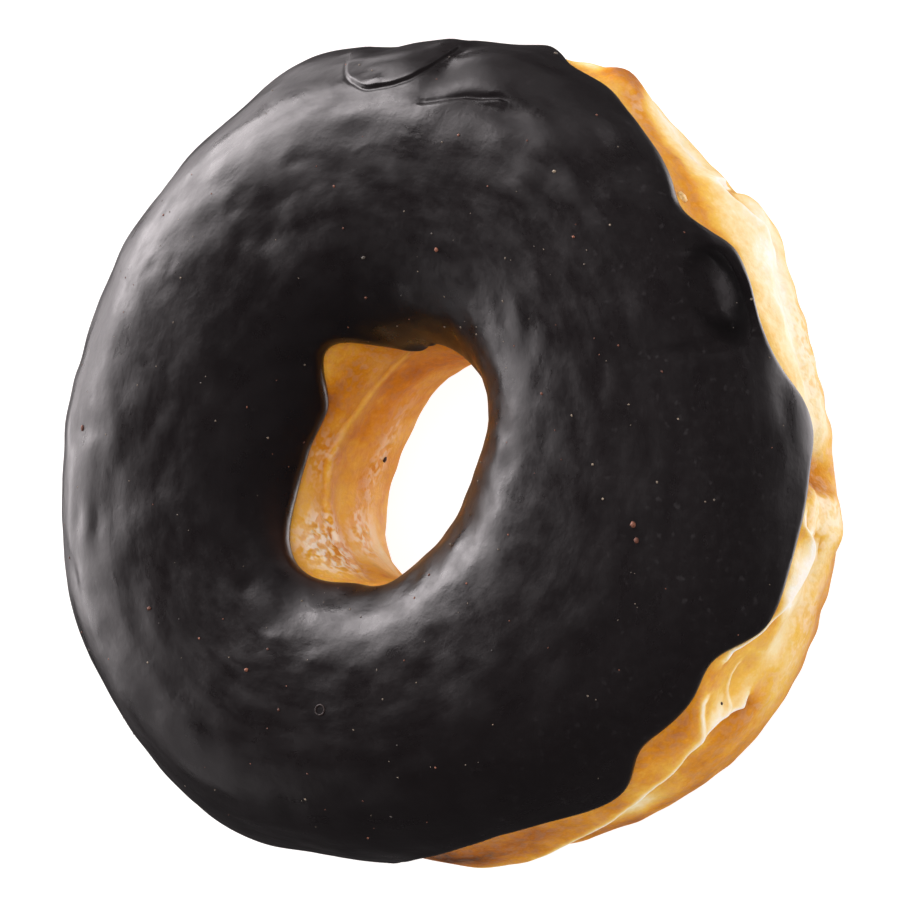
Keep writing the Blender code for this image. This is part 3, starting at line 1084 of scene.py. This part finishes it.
def build_icing():
    """The coat of icing, with its thin and glossy places and its dusty places with painted sheen.
    """
    shape = (ICING_POINTS, icing_place, ICING_FOLDS)
    ring, azimuth, section = add_ring("icing_coat", *shape, icing_material())
    thin = patched(0.0 * azimuth, THIN_PATCHES, azimuth, section)
    thin = thin + THIN_AT_EDGE * bell(edge_distance(azimuth, section), THIN_EDGE_REACH)
    paint(ring, "thin", np.clip(thin, 0.0, 1.0))
    paint(ring, "dullness", patched(1.0 + 0.0 * azimuth, GLOSS_PATCHES, azimuth, section))
    paint(ring, "bloom_and_sheen", patched(PLAIN_BLOOM_AND_SHEEN + 0.0 * azimuth, BLOOM_AND_SHEEN_PATCHES, azimuth, section))
    paint(ring, "streaked", dragged(azimuth, section))
    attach(ring, "root")
    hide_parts("icing")


def standing(azimuth, section, height_at):
    """Where a point of a surface lies, and the turn that brings +Z to its outward direction."""
    step = 0.2
    azimuths = np.array([azimuth, azimuth + step, azimuth])
    sections = np.array([section, section, section + step])
    here, along, across = ring_point(azimuths, sections, height_at(azimuths, sections))
    outward = Vector(np.cross(across - here, along - here)).normalized()
    plain = ring_point(azimuths, sections, height_at(azimuths, sections) + 1.0 * MM)[0] - here
    if outward.dot(Vector(plain)) < 0.0:
        outward.negate()
    return Vector(here), outward.to_track_quat("Z", "Y").to_matrix().to_4x4()


def grow_specks(mesh, places, height_at, draw):
    """Adds flat uneven grains to a mesh, half sunk in a surface."""
    for azimuth, section, radius in places:
        here, turn = standing(azimuth, section, height_at)
        shape = np.array([1.0, draw.uniform(*SPECK_WIDTHS), SPECK_FLATNESS]) * radius
        spin = Matrix.Rotation(draw.uniform(0.0, math.pi), 4, "Z")
        sunk = Matrix.Translation((0.0, 0.0, -SPECK_SUNK * radius))
        pose = Matrix.Translation(here) @ turn @ sunk @ spin @ Matrix.Diagonal((*shape, 1.0))
        bmesh.ops.create_icosphere(mesh, subdivisions=1, radius=1.0, matrix=pose)


def scattered(amount, smallest, largest, seed):
    """Random places on the icing: azimuth, section angle and radius."""
    draw = np.random.default_rng(seed)
    places = []
    while len(places) < amount:
        azimuth, section = draw.uniform(-180.0, 180.0), draw.uniform(*SPECK_SECTIONS)
        radius = smallest + (largest - smallest) * draw.uniform() ** 2
        if edge_distance(azimuth, section) > SPECK_MARGIN:
            places.append((azimuth, section, radius))
    return places


def add_mesh(name, mesh, material):
    """Makes an object of a bmesh and hands it to the frame."""
    data = bpy.data.meshes.new(name)
    mesh.to_mesh(data)
    mesh.free()
    data.shade_smooth()
    data.materials.append(material)
    piece = bpy.data.objects.new(name, data)
    bpy.context.scene.collection.objects.link(piece)
    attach(piece, "root")


def build_specks():
    """Pale and ruddy specks in the icing, small ones spread at random and some larger ones."""
    for name, scatter, large, colours in (
        ("pale_specks", PALE_SPECKS, LARGE_PALE_SPECKS, PALE_SPECK_COLOURS),
        ("ruddy_specks", RUDDY_SPECKS, LARGE_RUDDY_SPECKS, RUDDY_SPECK_COLOURS),
    ):
        mesh = bmesh.new()
        places = scattered(*scatter) + list(large)
        grow_specks(mesh, places, icing_height, np.random.default_rng(scatter[-1]))
        add_mesh(name, mesh, speck_material(name, *colours))


def build_bubble():
    """The low rim that a burst bubble left in the icing."""
    azimuth, section, radius = BUBBLE
    here, turn = standing(azimuth, section, icing_height)
    bpy.ops.mesh.primitive_torus_add(
        major_radius=radius,
        minor_radius=BUBBLE_THICKNESS * radius,
        major_segments=36,
        minor_segments=12,
    )
    rim = bpy.context.object
    rim.name = "bubble_rim"
    rim.data.transform(Matrix.Translation(here) @ turn)
    rim.data.shade_smooth()
    rim.data.materials.append(speck_material("bubble_rim", *BUBBLE_COLOURS))
    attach(rim, "root")


def build_crumb():
    """A golden crumb of crust that stuck beside the edge of the icing."""
    azimuth, section, radius = CRUMB
    here, turn = standing(azimuth, section, dough_texture)
    mesh = bmesh.new()
    shape = Matrix.Diagonal((*(radius * share for share in CRUMB_SHAPE), 1.0))
    bmesh.ops.create_icosphere(mesh, subdivisions=4, radius=1.0, matrix=shape)
    points = np.array([vertex.co for vertex in mesh.verts])
    lumps = 1.0 + rippling(CRUMB_LUMPS, points)
    for vertex, lump in zip(mesh.verts, lumps):
        vertex.co *= lump
    mesh.transform(Matrix.Translation(here) @ turn)
    add_mesh("crumb", mesh, speck_material("crumb", *CRUMB_COLOURS))


def build_crust_specks():
    """Dark burnt specks on the bare crust."""
    mesh = bmesh.new()
    grow_specks(mesh, CRUST_SPECKS, dough_texture, np.random.default_rng(CRUST_SPECK_SEED))
    material = speck_material("crust_specks", *CRUST_SPECK_COLOURS)
    add_mesh("crust_specks", mesh, material)


def heading_to(azimuth, elevation):
    """The direction at an azimuth and a height above the horizon."""
    turn, rise = math.radians(azimuth), math.radians(elevation)
    level = math.cos(rise)
    return Vector((math.cos(turn) * level, math.sin(turn) * level, math.sin(rise)))


def add_softbox(name, azimuth, elevation, width, height, power, spin=0.0):
    """A rectangular lamp that faces the doughnut, with a power for each square metre of it."""
    lamp = bpy.data.lights.new(name, "AREA")
    lamp.shape = "RECTANGLE"
    lamp.size, lamp.size_y = width, height
    lamp.energy = power * width * height
    lamp.color = LAMP_TINT
    softbox = bpy.data.objects.new(name, lamp)
    bpy.context.scene.collection.objects.link(softbox)
    towards = heading_to(azimuth, elevation)
    softbox.location = towards * LAMP_DISTANCE + Vector((0.0, 0.0, HALF_HEIGHT))
    facing = towards.to_track_quat("Z", "Y")
    turn = Matrix.Rotation(math.radians(spin), 3, "Z").to_quaternion()
    softbox.rotation_mode = "QUATERNION"
    softbox.rotation_quaternion = facing @ turn
    softbox.visible_camera = False
    return softbox


def add_world():
    """Dim grey all round, with a pale backdrop straight behind what the camera sees."""
    world = bpy.data.worlds.new("studio")
    bpy.context.scene.world = world
    world.use_nodes = True
    tree = world.node_tree
    seen = tree.nodes.new("ShaderNodeLightPath").outputs["Is Camera Ray"]
    colour = add_mix(tree, seen, WORLD_GREY, BACKDROP_GREY)
    tree.links.new(colour, tree.nodes["Background"].inputs["Color"])


def light_scene():
    """Large lamps round the doughnut and a dim surrounding."""
    add_world()
    for lamp in LAMPS:
        add_softbox(*lamp)
    for lamp in DULL_FILLS:
        add_softbox(*lamp).visible_glossy = False
    for lamp in GLOSS_LAMPS:
        add_softbox(*lamp).visible_diffuse = False


def lay_floor():
    """A pale floor that glows a little, as a light table does. Only the camera and soft light
    meet it, so that the icing's gloss shows the lamps alone."""
    bpy.ops.mesh.primitive_circle_add(vertices=96, radius=FLOOR_RADIUS, fill_type="NGON")
    floor = bpy.context.object
    floor.name = "floor"
    floor.location.z = -FLOOR_DROP
    material, tree, shader = new_material("pale_floor")
    feed(tree, shader.inputs["Base Color"], FLOOR_COLOUR)
    feed(tree, shader.inputs["Roughness"], FLOOR_ROUGHNESS)
    feed(tree, shader.inputs["Emission Color"], (1.0, 1.0, 1.0))
    feed(tree, shader.inputs["Emission Strength"], FLOOR_GLOW)
    floor.data.materials.append(material)
    floor.visible_glossy = False
    floor.visible_shadow = False


def place_camera():
    """The camera at the photo's viewing angle."""
    tilt, roll = math.radians(VIEW_TILT), math.radians(VIEW_ROLL)
    back = Vector((0.0, -math.sin(tilt), math.cos(tilt)))
    down = Vector((0.0, -math.cos(tilt), -math.sin(tilt)))
    side = Vector((1.0, 0.0, 0.0))
    right = down * math.cos(roll) - side * math.sin(roll)
    up = down * math.sin(roll) + side * math.cos(roll)
    middle = Vector((VIEW_MIDDLE[0], VIEW_MIDDLE[1], HALF_HEIGHT - FOOT_FLAT))
    pose = Matrix((right, up, back)).transposed().to_4x4()
    pose.translation = middle + back * VIEW_DISTANCE
    lens = bpy.data.cameras.new("photo_view")
    lens.sensor_width = SENSOR_WIDTH
    lens.lens = RADIUS_PIXELS / IMAGE_SIZE * SENSOR_WIDTH * VIEW_DISTANCE / OUTER_RADIUS
    lens.shift_x = (IMAGE_SIZE / 2.0 - CENTRE_PIXEL[0]) / IMAGE_SIZE
    lens.shift_y = (CENTRE_PIXEL[1] - IMAGE_SIZE / 2.0) / IMAGE_SIZE
    camera = bpy.data.objects.new("photo_view", lens)
    bpy.context.scene.collection.objects.link(camera)
    camera.matrix_world = pose
    bpy.context.scene.camera = camera


bpy.context.scene.view_settings.view_transform = "Standard"
build_dough()
build_icing()
build_specks()
build_bubble()
build_crumb()
build_crust_specks()
lay_floor()
light_scene()
place_camera()
